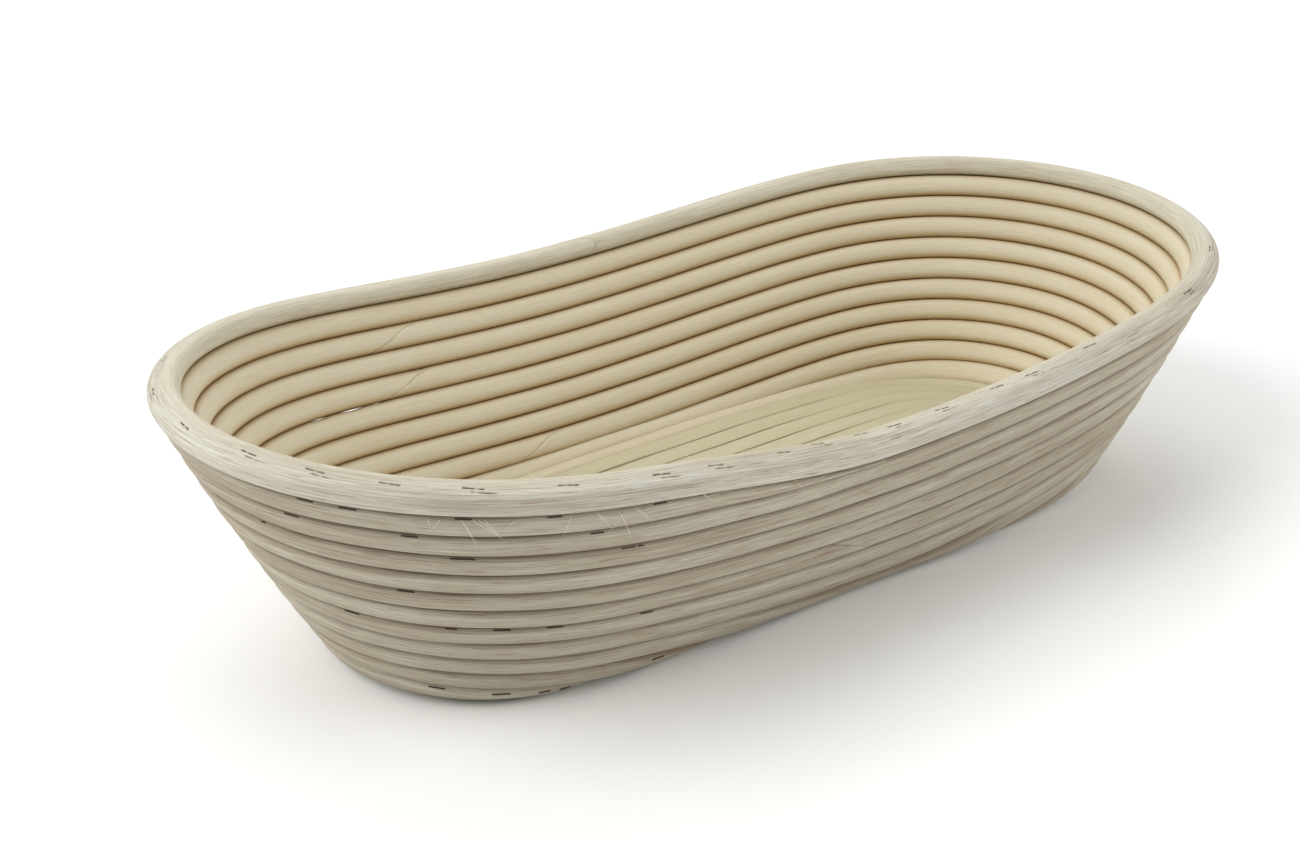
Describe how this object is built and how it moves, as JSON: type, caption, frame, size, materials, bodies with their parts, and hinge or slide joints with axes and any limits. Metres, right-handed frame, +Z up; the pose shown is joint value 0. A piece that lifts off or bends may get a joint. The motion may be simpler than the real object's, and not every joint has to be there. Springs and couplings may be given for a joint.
{
  "type": "banneton basket",
  "caption": "Long oval proofing basket coiled from round rattan cane, with flared walls and a stapled rim hoop that dips along the long sides.",
  "frame": {"origin": "middle of the basket's outline, on the table", "axes": "+X along the basket's length, +Z up, out of the basket's mouth"},
  "size_m": [0.3784, 0.1974, 0.09],
  "materials": {
    "rattan": "matt, unvarnished peeled rattan",
    "hoop_rattan": "matt, unvarnished peeled rattan",
    "staple_wire": "dull flat wire"
  },
  "bodies": {
    "root": {"floor_cane_inner": "rattan", "floor_cane_outer": "rattan", "wall_cane_bottom": "rattan", "wall_cane_lower": "rattan", "wall_cane_middle": "rattan", "wall_cane_upper": "rattan", "wall_cane_top": "rattan", "rim_hoop": "hoop_rattan", "rim_staple_01": "staple_wire", "rim_staple_02": "staple_wire", "rim_staple_03": "staple_wire", "rim_staple_04": "staple_wire", "rim_staple_05": "staple_wire", "rim_staple_06": "staple_wire", "rim_staple_07": "staple_wire", "rim_staple_08": "staple_wire", "rim_staple_09": "staple_wire", "rim_staple_10": "staple_wire", "rim_staple_11": "staple_wire", "rim_staple_12": "staple_wire", "rim_staple_13": "staple_wire", "rim_staple_14": "staple_wire", "rim_staple_15": "staple_wire", "rim_staple_16": "staple_wire", "rim_staple_17": "staple_wire", "rim_staple_18": "staple_wire", "rim_staple_19": "staple_wire", "rim_staple_20": "staple_wire", "rim_staple_21": "staple_wire", "rim_staple_22": "staple_wire", "rim_staple_23": "staple_wire", "rim_staple_24": "staple_wire", "rim_staple_25": "staple_wire", "rim_staple_26": "staple_wire", "rim_staple_27": "staple_wire", "rim_staple_28": "staple_wire", "rim_staple_29": "staple_wire", "rim_staple_30": "staple_wire", "rim_staple_31": "staple_wire", "rim_staple_32": "staple_wire", "rim_staple_33": "staple_wire", "rim_staple_34": "staple_wire", "rim_staple_35": "staple_wire", "rim_staple_36": "staple_wire", "rim_staple_37": "staple_wire", "rim_staple_38": "staple_wire"}
  },
  "joints": []
}
